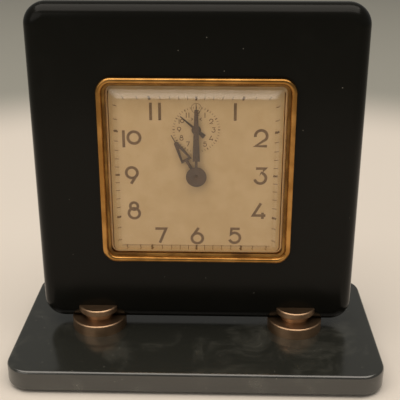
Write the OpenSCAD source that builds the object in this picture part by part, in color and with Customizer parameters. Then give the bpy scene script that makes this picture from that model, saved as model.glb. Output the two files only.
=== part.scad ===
// Square-dial desk alarm clock: a thick rounded slab standing on two turned feet
// over a rectangular base, with a wind-up alarm movement in a steel can behind it.

/* [Slab] */
// Width of the upright slab
slab_w = 120; // [105:1:150]
// Height of the upright slab
slab_h = 122; // [105:1:150]
// Thickness of the slab
slab_t = 12; // [10:0.5:16]
// Corner radius of the slab seen from the front
slab_corner_r = 8; // [7:0.5:16]
// Rounding along all the edges of the slab
slab_edge_r = 5.5; // [3:0.25:5.75]

/* [Base] */
// Width of the base plate
base_w = 138; // [122:1:180]
// Depth of the base plate, front to back
base_d = 76; // [66:1:110]
// Thickness of the base plate
base_t = 8; // [6.5:0.5:14]
// Corner radius of the base seen from above
base_corner_r = 9.5; // [4:0.5:18]
// Rounding along the edges of the base
base_edge_r = 1.2; // [0.5:0.1:2.5]
// Thickness of the felt under the base
felt_t = 1; // [0.5:0.1:3]
// Inset of the felt from the edge of the base
felt_inset = 3; // [2:0.5:8]

/* [Feet] */
// Distance between the centres of the two feet
foot_spacing = 76.8; // [60:0.2:90]
// Gap between the base and the underside of the slab
slab_gap = 3; // [2:0.1:5]
// Radius of the lower disc of a foot
foot_low_r = 10.5; // [8.5:0.25:12]
// Height of the lower disc
foot_low_h = 4.4; // [3.4:0.1:5.4]
// Radius of the waist between the two discs
foot_waist_r = 5.6; // [5:0.1:6.5]
// Height of the waist
foot_waist_h = 2.6; // [1.5:0.1:4]
// Radius of the upper disc of a foot
foot_up_r = 7.9; // [6.6:0.1:8.5]
// Height of the upper disc
foot_up_h = 2.6; // [1.5:0.1:4]
// How far the turning axis of a foot lies behind the slab's front face
foot_set_back = 2.6; // [1.8:0.1:3.2]

/* [Bezel and crystal] */
// Outer width and height of the bezel
bezel_w = 70.5; // [70:0.5:74]
// Corner radius of the bezel's outer edge
bezel_corner_r = 5.5; // [4.5:0.1:8]
// How far the bezel stands in front of the slab
bezel_proud = 2.6; // [1.6:0.1:4]
// Wall of the bezel's sleeve
sleeve_t = 0.7; // [0.5:0.05:1]
// Overlap of the bezel's lip on the slab, beside its sleeve
lip_over = 1.8; // [1.2:0.1:2.6]
// Height of the bezel's centre above the slab's centre
bezel_rise = 0.8; // [0:0.1:2]
// Thickness of the crystal
crystal_t = 1.2; // [1:0.1:2]
// How far the crystal's flat front stands in front of the slab
crystal_proud = 3.3; // [2.8:0.1:4.5]
// Width of the crystal's sloping border
crystal_slope_w = 3.7; // [2:0.1:6]

/* [Dial and hands] */
// Depth of the dial's front below the slab's front face
dial_depth = 1.4; // [1.2:0.1:2]
// Thickness of the dial plate
dial_t = 0.5; // [0.3:0.1:1]
// Distance of the hands' centre below the bezel's centre
hub_drop = 1.5; // [0:0.1:1.7]
// Distance from the hands' centre up to the alarm hand's centre
alarm_rise = 17.4; // [17:0.1:18]
// Length of the minute hand
minute_len = 27.2; // [22:0.1:27.2]
// Length of the hour hand
hour_len = 18; // [12:0.5:22]
// Length of the alarm hand's pointer
alarm_len = 7.6; // [4:0.1:8]
// Radius of the round boss of the minute hand
boss_r = 3.75; // [2.6:0.05:4]
// Hour shown by the hands
shown_hour = 11; // [1:1:12]
// Angle of the alarm hand, clockwise from twelve
alarm_angle = -49; // [-180:1:180]

/* [Case] */
// Depth of the movement can behind the slab's front face
can_depth = 33.6; // [33:0.1:38]
// Wall of the movement can
can_t = 0.6; // [0.4:0.1:0.8]
// Thickness of the back cover
cover_t = 0.8; // [0.6:0.1:1.5]
// Width of the retaining frame's flange on the back of the slab
frame_flange = 4.6; // [3:0.1:8]
// Radius of the screws that clamp the bezel, frame and can together
clamp_r = 1; // [0.8:0.05:1.2]

/* [Movement] */
// Width and height of the movement plates
plate_w = 54; // [53:0.5:56]
// Thickness of the movement plates
plate_t = 1.2; // [1:0.1:1.6]
// Distance from the slab's front face back to the front movement plate
plate_depth = 8.6; // [8.4:0.1:9]
// Free height between the two movement plates
plate_gap = 17.8; // [17.6:0.1:18.4]
// Distance of a pillar from the movement's centre, sideways and up
pillar_off = 23.5; // [23:0.1:24.5]
// Radius of the movement's pillars
pillar_r = 2; // [1.6:0.1:2.4]
// Radius of the centre arbor
arbor_r = 0.75; // [0.6:0.05:0.8]
// Radius of the winding arbors
wind_r = 1.5; // [1.2:0.1:1.8]
// Span of a winding key across its wings
key_span = 17; // [12:0.5:19]

/* [Hidden] */
$fn = 64;
run_gap = 0.05;    // radial clearance of a turning fit
push_gap = 0.02;   // radial clearance of a part pushed on to its arbor
seat_gap = 0.02;   // between two parts screwed face to face
slip_gap = 0.1;    // clearance of parts that slide together
hole_gap = 0.15;   // extra radius of a screw's clearance hole

// heights, from the surface that the clock stands on
base_top = felt_t + base_t;
slab_z = base_top + slab_gap;
slab_mid = slab_z + slab_h / 2;
bezel_z = slab_mid + bezel_rise;
hub_z = bezel_z - hub_drop;

// bezel, sleeve and what fits inside it; each pair is [half width, corner radius]
crystal_hold = 0.6;   // overlap of the bezel's lip on the crystal's flange
bead_r = 0.9;         // radius of the bead round the bezel's outer edge
lip_outer = [bezel_w / 2, bezel_corner_r];
sleeve_outer = inset(lip_outer, lip_over);
opening = inset(sleeve_outer, -slip_gap);
sleeve_inner = inset(sleeve_outer, sleeve_t);
crystal_edge = inset(sleeve_inner, slip_gap);
lip_inner = inset(sleeve_inner, crystal_hold);
crystal_foot = inset(lip_inner, hole_gap);
crystal_flat = inset(crystal_foot, crystal_slope_w);
can_outer = inset(sleeve_inner, slip_gap);
can_inner = inset(can_outer, can_t);
function inset(e, d) = [e[0] - d, max(e[1] - d, 0.6)];

sleeve_depth = slab_t + 6;
crystal_flange_t = 0.9;
crystal_flange_z = 0.1;
dial_back = dial_depth + dial_t;
clamp_depth = slab_t + 3.5;
collar_t = 1;

// depths of the movement, from the slab's front face backwards
front_in = plate_depth + plate_t;
back_in = front_in + plate_gap;
back_out = back_in + plate_t;
cover_in = can_depth;
cover_out = can_depth + cover_t;

// places in the movement, seen from the front, with the hands' centre at [0, 0]
hub = [0, 0];
alarm_at = [0, alarm_rise];
main_m = 0.42;      // module of the two main wheels
motion_m = alarm_rise / 48;  // module of the motion work, so that two 48-tooth wheels reach the alarm
third_m = 0.35;
fourth_m = 0.28;
escape_m = 0.26;
great_n = 60;
centre_pinion_n = 10;
centre_n = 60;
third_pinion_n = 8;
third_n = 64;
fourth_pinion_n = 8;
fourth_n = 56;
escape_pinion_n = 7;
escape_n = 15;
alarm_great_n = 50;
alarm_pinion_n = 8;
alarm_escape_n = 13;
cannon_n = 15;
minute_n = 45;
minute_pinion_n = 12;
hour_n = 48;
function reach(n1, n2, m) = (n1 + n2) * m / 2;
function polar(r, a) = [r * cos(a), r * sin(a)];
// directions from one arbor to the next, anticlockwise from the right
great_dir = 28.66;
minute_dir = 235;
third_dir = 144;
fourth_dir = 120;
escape_dir = 30;
pallet_dir = -50;
lever_dir = -27;
bell_dir = 75;
time_at = polar(reach(great_n, centre_pinion_n, main_m), great_dir + 180);
alarm_main_at = [-time_at[0], time_at[1]];
minute_at = polar(reach(cannon_n, minute_n, motion_m), minute_dir);
third_at = polar(reach(centre_n, third_pinion_n, third_m), third_dir);
fourth_at = third_at + polar(reach(third_n, fourth_pinion_n, fourth_m), fourth_dir);
escape_at = fourth_at + polar(reach(fourth_n, escape_pinion_n, escape_m), escape_dir);
pallet_at = escape_at + polar(6.2, pallet_dir);
balance_at = pallet_at + polar(9, lever_dir);
bell_wheel_at = alarm_main_at + polar(reach(alarm_great_n, alarm_pinion_n, main_m), bell_dir);
hammer_at = bell_wheel_at + polar(6.9, 50);
// angle of a tooth on a wheel of n2 teeth that meshes, in direction d, with a wheel of n1
// teeth whose own tooth stands at angle t1
function meshed(t1, n1, d, n2) = d + 180 + 180 / n2 - (t1 - d) * n1 / n2;
centre_pinion_turn = meshed(0, great_n, great_dir, centre_pinion_n);
third_pinion_turn = meshed(0, centre_n, third_dir, third_pinion_n);
fourth_pinion_turn = meshed(0, third_n, fourth_dir, fourth_pinion_n);
escape_pinion_turn = meshed(0, fourth_n, escape_dir, escape_pinion_n);
bell_pinion_turn = meshed(0, alarm_great_n, bell_dir, alarm_pinion_n);
minute_turn = meshed(0, cannon_n, minute_dir, minute_n);
hour_turn = meshed(0, minute_pinion_n, minute_dir + 180, hour_n);
alarm_turn = meshed(hour_turn, hour_n, 90, hour_n);
stop_at = [-15, 20];
pillars_at = [for (x = [-1, 1], y = [-1, 1]) [x * pillar_off, y * pillar_off]];

// layers of the movement, as depths behind the slab's front face: [nearest, furthest]
cannon_z = [plate_depth - 1.8, plate_depth - 0.3];
minute_z = [plate_depth - 1.5, plate_depth - 0.7];
minute_pinion_z = [plate_depth - 4.2, plate_depth - 1.5];
hour_z = [plate_depth - 3.6, plate_depth - 2.8];
great_z = [front_in + 2, front_in + 3.2];
ratchet_z = [great_z[1] + 0.2, great_z[1] + 1.2];
spring_z = [great_z[1] + 2.4, back_in - 3];
alarm_spring_z = [spring_z[0], spring_z[1] - 2.6];
centre_z = [back_in - 1.6, back_in - 0.8];
third_z = [front_in + 0.6, front_in + 1.4];
fourth_z = [front_in + 9.8, front_in + 10.6];
escape_z = [front_in + 12.8, front_in + 13.4];
balance_z = [front_in + 6.8, front_in + 8];
hairspring_z = [front_in + 8.6, front_in + 9.2];
pallet_z = [escape_z[0] - 1.5, escape_z[0] - 0.7];
bell_z = [front_in + 13.8, front_in + 14.6];
hammer_z = [bell_z[0] - 1.2, bell_z[0] - 0.3];
regulator_z = [back_out + 0.2, back_out + 1];

// arbors, pipes and pins
pivot_r = 0.4;
alarm_arbor_r = 0.8;
post_r = 0.6;
cannon_pipe_r = 1.25;
hour_pipe_r = 1.75;
coil_hub_r = 2.6;
stud_r = 1.2;
stop_r = 1.2;
alarm_pin_r = 0.35;
dial_pin_r = 0.7;
dial_pin_off = 20;

// depths of the hands: [back, front], in front of the dial
hour_hand_z = [-0.5, -0.15];
minute_hand_z = [0.15, 0.5];
alarm_hand_z = [-1.1, -0.8];
hour_angle = -30 * shown_hour;
time_knob_h = 5;
alarm_knob_h = 4;

click_r = 7.4;   // distance of a click's pivot from its winding arbor
click_dir = 60;
balance_r = 6.4;
regulator_r = 11;       // reach of the regulator's lever from the balance
regulator_mid = 40;     // direction of the regulator's lever at mid setting
regulator_swing = 15;   // travel of the regulator's lever to each side

// screws
base_screw_r = 1.5;
base_screw_head_r = 2.9;
base_screw_head_h = 1.7;
base_screw_bite = 5;
insert_r = 2.6;
insert_h = 7;
insert_up = 0.5;   // height of an insert's lower end above the slab's underside
cover_screw_r = 1;
foot_x = foot_spacing / 2;
slab_front = -slab_t / 2;
foot_y = slab_front + foot_set_back;
foot_screw_y = foot_y - 3.4;

// ---- frames: local x to the right, y up, z towards the viewer, 0 on the slab's front face ----
module facing(height) {
    translate([0, slab_front, height]) rotate([90, 0, 0]) children();
}
module at_bezel() { facing(bezel_z) children(); }
module at_hub(p = [0, 0]) { facing(hub_z) translate([p[0], p[1], 0]) children(); }
// a slice of the depth, given as depths behind the slab's front face
module deep(z) { translate([0, 0, -z[1]]) linear_extrude(z[1] - z[0]) children(); }
module rod(r, z) { translate([0, 0, -z[1]]) cylinder(r = r, h = z[1] - z[0]); }

// ---- outlines ----
// rounded rectangle of half sizes a and b and corner radius r
module rounded_rect(a, b, r) {
    square([2 * a, 2 * (b - r)], center = true);
    square([2 * (a - r), 2 * b], center = true);
    for (x = [-1, 1], y = [-1, 1]) translate([x * (a - r), y * (b - r)]) circle(r);
}
// rounded square of half width e[0] and corner radius e[1]
module outline(e) { rounded_rect(e[0], e[0], e[1]); }
// carries a profile round a rounded rectangle; the profile's x is outwards from the path
module sweep(a, b, r) {
    for (k = [0:3]) {
        u = k % 2 == 0 ? a : b;
        v = k % 2 == 0 ? b : a;
        rotate([0, 0, 90 * k]) {
            translate([u, 0, 0]) rotate([90, 0, 0])
                linear_extrude(2 * (v - r), center = true) children();
            translate([u - r, v - r, 0]) rotate_extrude(angle = 90) translate([r, 0]) children();
        }
    }
}
// edge profile of a plate of thickness t whose two edges are rounded by r
module rounded_edge(t, r) {
    intersection() {
        square([r, t]);
        union() {
            translate([-r, r]) square([2 * r, t - 2 * r]);
            translate([0, r]) circle(r);
            translate([0, t - r]) circle(r);
        }
    }
}
// plate of half sizes a and b, corner radius c and thickness t, with its edges rounded by r
module rounded_plate(a, b, c, t, r) {
    linear_extrude(t) rounded_rect(a - r, b - r, c - r);
    sweep(a - r, b - r, c - r) rounded_edge(t, r);
}
// toothed wheel: straight flanks below the pitch circle, pointed above it
module teeth(n, m, width = 0.4, root = 1.35, tip = 0.85) {
    r = n * m / 2;
    w = 360 / n * width / 2;
    polygon([for (i = [0:n - 1], p = [[-1.15, r - root * m], [-1, r], [-0.42, r + tip * m],
        [0.42, r + tip * m], [1, r], [1.15, r - root * m]])
        [p[1] * cos(360 / n * i + p[0] * w), p[1] * sin(360 / n * i + p[0] * w)]]);
}
// saw-toothed ratchet or escape wheel
module saw(n, r, depth) {
    polygon([for (i = [0:n - 1], p = [[0, r], [0.1, r], [0.25, r - depth]])
        [p[1] * cos(360 / n * (i + p[0])), p[1] * sin(360 / n * (i + p[0]))]]);
}
// openings between the spokes of a wheel
module spoke_gaps(n, rim, boss, spoke) {
    difference() {
        circle(rim);
        circle(boss);
        for (i = [0:n - 1]) rotate(360 / n * i) translate([0, -spoke / 2]) square([rim + 1, spoke]);
    }
}
// an arbor between the movement plates with a thin pivot at each end
module arbor(r) {
    rod(r, [front_in + 0.3, back_in - 0.3]);
    rod(pivot_r, [front_in - plate_t, front_in + 0.3]);
    rod(pivot_r, [back_in - 0.3, back_out]);
}

// ---- stand ----
module base_plate() {
    color([0.05, 0.05, 0.045])
    difference() {
        translate([0, 0, felt_t])
            rounded_plate(base_w / 2, base_d / 2, base_corner_r, base_t, base_edge_r);
        for (x = [-foot_x, foot_x], y = [foot_screw_y, 0]) translate([x, y, felt_t]) {
            translate([0, 0, -1]) cylinder(r = base_screw_r + hole_gap, h = base_t + 2);
            translate([0, 0, -1]) cylinder(r = base_screw_head_r + hole_gap,
                h = base_screw_head_h + 1.3);
        }
    }
}
module base_felt() {
    color([0.12, 0.2, 0.14])
    linear_extrude(felt_t) rounded_rect(base_w / 2 - felt_inset, base_d / 2 - felt_inset,
        base_corner_r - felt_inset);
}
module foot() {
    waist_z = foot_low_h + foot_waist_h;
    color([0.62, 0.42, 0.28])
    difference() {
        translate([0, foot_y, base_top]) rotate_extrude() foot_profile(waist_z);
        rotate([90, 0, 90]) linear_extrude(2 * foot_low_r, center = true) slab_foot_print();
        translate([0, 0, base_top - 1]) cylinder(r = base_screw_r + hole_gap, h = slab_gap + 2);
        translate([0, foot_screw_y, base_top - 1]) cylinder(r = base_screw_r + run_gap,
            h = base_screw_bite + 1.2);
    }
}
// section of the slab's lower edge and of everything behind and above it
module slab_foot_print() {
    round_at = [slab_front + slab_edge_r, slab_z + slab_edge_r];
    translate(round_at) circle(slab_edge_r + seat_gap);
    translate([round_at[0], slab_z]) square([3 * foot_up_r, foot_up_h + foot_waist_h + slab_edge_r]);
    translate([slab_front - seat_gap, round_at[1]]) square([3 * foot_up_r, 2 * foot_up_h]);
}
module foot_profile(waist_z) {
    edge = 0.35;
    polygon([[0, 0], [foot_low_r, 0], [foot_low_r, foot_low_h - edge],
        [foot_low_r - edge, foot_low_h], [foot_waist_r, foot_low_h], [foot_waist_r, waist_z],
        [foot_up_r - edge, waist_z], [foot_up_r, waist_z + edge],
        [foot_up_r, waist_z + foot_up_h - edge], [foot_up_r - edge, waist_z + foot_up_h],
        [0, waist_z + foot_up_h]]);
}
module foot_left() { translate([-foot_x, 0, 0]) foot(); }
module foot_right() { translate([foot_x, 0, 0]) foot(); }
module base_screw(z_top) {
    translate([0, 0, felt_t + 0.2]) difference() {
        cylinder(r = base_screw_head_r, h = base_screw_head_h);
        translate([-base_screw_head_r, -0.4, -1]) cube([2 * base_screw_head_r, 0.8, 1.7]);
    }
    translate([0, 0, felt_t + base_screw_head_h]) cylinder(r = base_screw_r,
        h = z_top - felt_t - base_screw_head_h);
}
module base_screws() {
    color([0.6, 0.6, 0.58])
    for (x = [-foot_x, foot_x]) {
        translate([x, foot_screw_y, 0]) base_screw(base_top + base_screw_bite);
        translate([x, 0, 0]) base_screw(slab_z + insert_h - 1);
    }
}
module slab_inserts() {
    color([0.72, 0.55, 0.3])
    for (x = [-foot_x, foot_x]) translate([x, 0, slab_z + insert_up]) difference() {
        cylinder(r = insert_r, h = insert_h);
        translate([0, 0, -1]) cylinder(r = base_screw_r + run_gap, h = insert_h);
    }
}
module front_slab() {
    color([0.05, 0.05, 0.045])
    difference() {
        facing(slab_mid) translate([0, 0, -slab_t])
            rounded_plate(slab_w / 2, slab_h / 2, slab_corner_r, slab_t, slab_edge_r);
        at_bezel() deep([-1, slab_t + 1]) outline(opening);
        for (x = [-foot_x, foot_x]) translate([x, 0, slab_z - 1])
            cylinder(r = insert_r + run_gap, h = insert_h + insert_up + 1.05);
    }
}

// ---- bezel, crystal and dial ----
module bezel_profile() {
    run = lip_outer[0] - lip_inner[0];
    hook = run - lip_over - slip_gap;
    neck = bezel_proud - 1.1;
    translate([-run, 0]) {
        translate([run - 2 * bead_r, 0]) square([2 * bead_r, bezel_proud - bead_r]);
        translate([run - bead_r, bezel_proud - bead_r]) circle(bead_r);
        polygon([[0, crystal_flange_z], [0, crystal_flange_z + 0.7], [run - 2 * bead_r, neck],
            [run - bead_r, neck], [run - bead_r, 0], [hook, 0], [hook, crystal_flange_z]]);
    }
}
module bezel() {
    color([0.72, 0.52, 0.22])
    at_bezel() difference() {
        union() {
            sweep(lip_outer[0], lip_outer[0], lip_outer[1]) bezel_profile();
            difference() {
                deep([-crystal_flange_z, sleeve_depth]) outline(sleeve_outer);
                deep([-crystal_flange_z - 1, sleeve_depth + 1]) outline(sleeve_inner);
            }
        }
        clamp_holes(clamp_r + hole_gap);
    }
}
module clamp_holes(r) {
    for (k = [0:3]) rotate([0, 0, 90 * k]) translate([can_inner[0] - 2, 0, -clamp_depth])
        rotate([0, 90, 0]) cylinder(r = r, h = 8);
}
module crystal() {
    lo = crystal_flange_z;
    color([0.85, 0.85, 0.8, 0.25])
    at_bezel() difference() {
        union() {
            deep([-lo, crystal_flange_t - lo]) outline(crystal_edge);
            pillow(crystal_foot, crystal_flat, lo - 0.1, crystal_proud);
        }
        pillow(inset(crystal_foot, crystal_t), inset(crystal_flat, crystal_t * 0.55),
            lo - crystal_flange_t - 0.5, crystal_proud - crystal_t);
    }
}
module pillow(low, high, z_low, z_high) {
    hull() {
        translate([0, 0, z_low]) linear_extrude(0.1, $fn = 32) outline(low);
        translate([0, 0, z_high - 0.1]) linear_extrude(0.1, $fn = 32) outline(high);
    }
}
module dial_spacer() {
    color([0.7, 0.5, 0.25])
    at_bezel() difference() {
        deep([crystal_flange_t - crystal_flange_z + seat_gap, dial_depth - seat_gap]) outline(can_outer);
        deep([0, dial_depth + 1]) outline(inset(can_outer, 1));
    }
}
module dial() {
    color([0.86, 0.76, 0.58])
    difference() {
        union() {
            at_bezel() deep([dial_depth, dial_back]) outline(can_outer);
            for (s = [-1, 1]) at_hub(s * [dial_pin_off, dial_pin_off])
                rod(dial_pin_r, [dial_back - 0.1, front_in]);
        }
        at_hub() rod(2.3, [0, 6]);
        at_hub(alarm_at) rod(1.1, [0, 6]);
    }
}

// ---- case behind the slab ----
module retaining_frame() {
    color([0.5, 0.5, 0.48])
    at_bezel() difference() {
        union() {
            deep([slab_t, slab_t + 1]) outline(inset(sleeve_outer, -frame_flange));
            deep([slab_t, sleeve_depth]) outline(inset(sleeve_outer, -collar_t - slip_gap));
        }
        deep([slab_t - 1, sleeve_depth + 1]) outline(inset(sleeve_outer, -slip_gap));
        clamp_holes(clamp_r + hole_gap);
    }
}
module clamp_screws() {
    seat = sleeve_outer[0] + slip_gap + collar_t;
    color([0.6, 0.6, 0.58])
    at_bezel() for (k = [0:3]) rotate([0, 0, 90 * k]) translate([0, 0, -clamp_depth])
        rotate([0, 90, 0]) {
            translate([0, 0, can_inner[0] - 0.6]) cylinder(r = clamp_r,
                h = seat - can_inner[0] + 0.7);
            translate([0, 0, seat + seat_gap]) difference() {
                cylinder(r = 2.1, h = 1.2);
                translate([-3, -0.3, 0.6]) cube([6, 0.6, 1]);
            }
        }
}
module case_can() {
    color([0.5, 0.5, 0.48])
    at_bezel() difference() {
        deep([dial_back, cover_in]) outline(can_outer);
        deep([dial_back - 1, cover_in + 1]) outline(can_inner);
        clamp_holes(clamp_r + run_gap);
    }
}
module back_cover() {
    color([0.66, 0.52, 0.3])
    difference() {
        union() {
            at_bezel() deep([cover_in, cover_out]) outline(can_outer);
            at_bezel() difference() {
                deep([cover_in - 2, cover_in + 0.1]) outline(inset(can_inner, slip_gap));
                deep([cover_in - 3, cover_in + 0.1]) outline(inset(can_inner, slip_gap + 0.6));
            }
        }
        through_cover(hub, arbor_r + 0.5);
        through_cover(alarm_at, alarm_arbor_r + 0.4);
        through_cover(time_at, wind_r + 0.4);
        through_cover(alarm_main_at, wind_r + 0.4);
        through_cover(stop_at, stop_r + run_gap);
        for (p = pillars_at) through_cover(p, cover_screw_r + hole_gap);
        at_hub(balance_at) deep([cover_in - 1, cover_out + 1]) regulator_slot(1.1);
        sound_holes();
    }
}
module through_cover(p, r) { at_hub(p) rod(r, [cover_in - 1, cover_out + 1]); }
module sound_holes() {
    for (i = [-3:3]) at_hub([i * 4, -22]) rod(1, [cover_in - 1, cover_out + 1]);
}
module regulator_slot(half) {
    spread = regulator_swing + 6;
    difference() {
        circle(regulator_r + half);
        circle(regulator_r - half);
        rotate(regulator_mid + spread) translate([-40, 0]) square([80, 40]);
        rotate(regulator_mid - spread) translate([-40, -40]) square([80, 40]);
    }
}
module cover_screws() {
    color([0.6, 0.6, 0.58])
    for (p = pillars_at) at_hub(p) difference() {
        union() {
            rod(2.2, [cover_out + seat_gap, cover_out + 1.2]);
            rod(cover_screw_r, [cover_in - 3.4, cover_out + 0.1]);
        }
        translate([-3, -0.3, -cover_out - 2]) cube([6, 0.6, 1.4]);
    }
}

// ---- movement frame ----
module plate(z) {
    difference() {
        at_hub() deep(z) rounded_rect(plate_w / 2, plate_w / 2, 4);
        for (p = pillars_at) at_hub(p) rod(stud_r + run_gap, [z[0] - 1, z[1] + 1]);
        for (p = [third_at, fourth_at, escape_at, pallet_at, balance_at, bell_wheel_at, hammer_at])
            at_hub(p) rod(pivot_r + run_gap, [z[0] - 1, z[1] + 1]);
        at_hub(alarm_at) rod(alarm_arbor_r + run_gap, [z[0] - 1, z[1] + 1]);
        for (p = [time_at, alarm_main_at]) at_hub(p) rod(wind_r + run_gap, [z[0] - 1, z[1] + 1]);
        children();
    }
}
module front_plate() {
    z = [plate_depth, front_in];
    color([0.75, 0.6, 0.32])
    plate(z) {
        at_hub() rod(arbor_r + run_gap, [z[0] - 1, z[1] + 1]);
        at_hub(minute_at) rod(post_r + run_gap, [z[0] - 1, z[1] + 1]);
        for (s = [-1, 1]) at_hub(s * [dial_pin_off, dial_pin_off])
            rod(dial_pin_r + run_gap, [z[0] - 1, z[1] + 1]);
    }
}
module back_plate() {
    color([0.75, 0.6, 0.32])
    plate([back_in, back_out]) at_hub() rod(arbor_r + run_gap, [back_in - 1, back_out + 1]);
}
module pillars() {
    color([0.75, 0.6, 0.32])
    for (p = pillars_at) at_hub(p) difference() {
        union() {
            rod(pillar_r, [front_in, back_in]);
            rod(stud_r, [plate_depth - 1.8, front_in + 0.1]);
            rod(stud_r, [back_in - 0.1, back_out + 0.1]);
            rod(pillar_r, [back_out, cover_in]);
        }
        rod(cover_screw_r + run_gap, [cover_in - 4, cover_in + 1]);
    }
}
module plate_nuts() {
    color([0.6, 0.6, 0.58])
    for (p = pillars_at) at_hub(p) difference() {
        translate([0, 0, -plate_depth]) cylinder(r = 2.4, h = 1.5, $fn = 6);
        rod(stud_r + run_gap, [plate_depth - 3, plate_depth + 1]);
    }
}

// ---- motion work and hands ----
module centre_arbor() {
    color([0.6, 0.6, 0.6])
    at_hub() {
        rod(arbor_r, [-minute_hand_z[1] - 0.1, cover_out + time_knob_h]);
        rod(0.3, [-minute_hand_z[1] - 0.35, 0]);
    }
}
module cannon_pinion() {
    color([0.75, 0.6, 0.32])
    at_hub() difference() {
        union() {
            deep(cannon_z) teeth(cannon_n, motion_m);
            rod(cannon_pipe_r, [-minute_hand_z[0], cannon_z[0] + 0.1]);
        }
        rod(arbor_r + push_gap, [-3, cannon_z[1] + 1]);
    }
}
module minute_wheel() {
    color([0.75, 0.6, 0.32])
    at_hub(minute_at) difference() {
        union() {
            deep(minute_z) difference() {
                rotate(minute_turn) teeth(minute_n, motion_m);
                rotate(20) spoke_gaps(4, 6.4, 2.9, 1.3);
            }
            deep([minute_pinion_z[0], minute_pinion_z[1] + 0.1])
                teeth(minute_pinion_n, motion_m);
        }
        rod(post_r + run_gap, [0, plate_depth + 1]);
    }
}
module minute_post() {
    color([0.6, 0.6, 0.58])
    at_hub(minute_at) {
        rod(post_r, [minute_pinion_z[0] - 0.5, front_in]);
        rod(1.1, [minute_pinion_z[0] - 0.7, minute_pinion_z[0] - 0.2]);
    }
}
module hour_wheel() {
    color([0.75, 0.6, 0.32])
    at_hub() difference() {
        union() {
            deep(hour_z) difference() {
                rotate(hour_turn) teeth(hour_n, motion_m);
                rotate(10) spoke_gaps(4, 6.9, 2.8, 1.4);
            }
            rod(hour_pipe_r, [-hour_hand_z[0], hour_z[1] + 0.5]);
        }
        rod(cannon_pipe_r + run_gap, [-1, hour_z[1] + 2]);
    }
}
module minute_hand() {
    color([0.3, 0.19, 0.1])
    at_hub() translate([0, 0, minute_hand_z[0]])
        linear_extrude(minute_hand_z[1] - minute_hand_z[0]) difference() {
            union() {
                circle(boss_r);
                translate([-0.5, 0]) square([1, 6.4]);
                polygon([[-1.35, 6], [1.35, 6], [0.6, minute_len - 2.2], [0.14, minute_len - 2],
                    [0.12, minute_len], [-0.12, minute_len], [-0.14, minute_len - 2],
                    [-0.6, minute_len - 2.2]]);
            }
            circle(arbor_r + push_gap);
        }
}
module hour_hand() {
    foot_at = 6.9;
    head_at = hour_len - 3.2;
    color([0.3, 0.19, 0.1])
    at_hub() translate([0, 0, hour_hand_z[0]])
        linear_extrude(hour_hand_z[1] - hour_hand_z[0]) rotate(hour_angle) difference() {
            union() {
                circle(2.9);
                translate([-0.55, 0]) square([1.1, foot_at + 0.3]);
                polygon([[-2.1, foot_at], [2.1, foot_at], [0.75, head_at], [0.16, head_at + 0.3],
                    [0.12, hour_len], [-0.12, hour_len], [-0.16, head_at + 0.3],
                    [-0.75, head_at]]);
            }
            polygon([[-1.15, foot_at + 0.9], [1.15, foot_at + 0.9], [0.2, head_at - 2.6],
                [-0.2, head_at - 2.6]]);
            circle(cannon_pipe_r + run_gap);
        }
}
module time_set_knob() {
    color([0.7, 0.55, 0.3]) at_hub() knob(4, time_knob_h, arbor_r);
}
// knurled knob pushed on to the end of an arbor behind the back cover
module knob(r, h, on_r) {
    flutes = 24;
    difference() {
        rod(r, [cover_out + 1, cover_out + 1 + h]);
        for (i = [0:flutes - 1]) rotate([0, 0, 360 / flutes * i]) translate([r + 0.12, 0, 0])
            rod(0.32, [cover_out, cover_out + 2 + h]);
        rod(on_r + push_gap, [cover_out, cover_out + h + 0.05]);
    }
}

// ---- alarm setting ----
module alarm_arbor() {
    color([0.6, 0.6, 0.6])
    at_hub(alarm_at) {
        rod(alarm_arbor_r, [-alarm_hand_z[0], cover_out + alarm_knob_h]);
        rod(alarm_pin_r, [-alarm_hand_z[1] - 0.15, -alarm_hand_z[0] + 0.1]);
        rod(2.2, [hour_z[1] + 0.3, hour_z[1] + 1.2]);
    }
}
module alarm_hand() {
    color([0.3, 0.19, 0.1])
    at_hub(alarm_at) translate([0, 0, alarm_hand_z[0]])
        linear_extrude(alarm_hand_z[1] - alarm_hand_z[0]) rotate(-alarm_angle) difference() {
            union() {
                circle(1.7);
                polygon([[-0.85, -3.8], [0.85, -3.8], [0.47, 0], [0.15, alarm_len],
                    [-0.15, alarm_len], [-0.47, 0]]);
            }
            circle(alarm_pin_r + push_gap);
        }
}
module alarm_wheel() {
    color([0.75, 0.6, 0.32])
    at_hub(alarm_at) difference() {
        union() {
            deep(hour_z) difference() {
                rotate(alarm_turn) teeth(hour_n, motion_m);
                rotate(30) spoke_gaps(4, 6.9, 3, 1.4);
            }
            rod(1.8, [hour_z[0] - 0.9, hour_z[0] + 0.1]);
        }
        rod(alarm_arbor_r + run_gap, [0, hour_z[1] + 1]);
    }
}
module alarm_set_knob() {
    color([0.7, 0.55, 0.3]) at_hub(alarm_at) knob(3.2, alarm_knob_h, alarm_arbor_r);
}

// ---- drives ----
module winding_arbor(coil_z) {
    rod(wind_r, [plate_depth + 0.1, cover_out + 7]);
    deep(ratchet_z) saw(14, 4.6, 0.8);
    rod(coil_hub_r, coil_z);
}
module winding_key() {
    top = cover_out + 8;
    difference() {
        union() {
            rod(2.7, [cover_out + 1.4, top]);
            for (s = [-1, 1]) translate([0, 0.7, 0]) rotate([90, 0, 0]) linear_extrude(1.4)
                translate([s * (key_span / 2 - 3.6), -cover_out - 5.6]) wing();
        }
        rod(wind_r + push_gap, [cover_out, cover_out + 7.05]);
    }
}
module wing() {
    difference() {
        circle(3.6);
        circle(1.3);
    }
}
module great_wheel(n) {
    deep(great_z) difference() {
        teeth(n, main_m);
        circle(wind_r + run_gap);
        rotate(click_dir) spoke_gaps(5, n * main_m / 2 - 1.9, 4.2, 1.8);
    }
}
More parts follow.
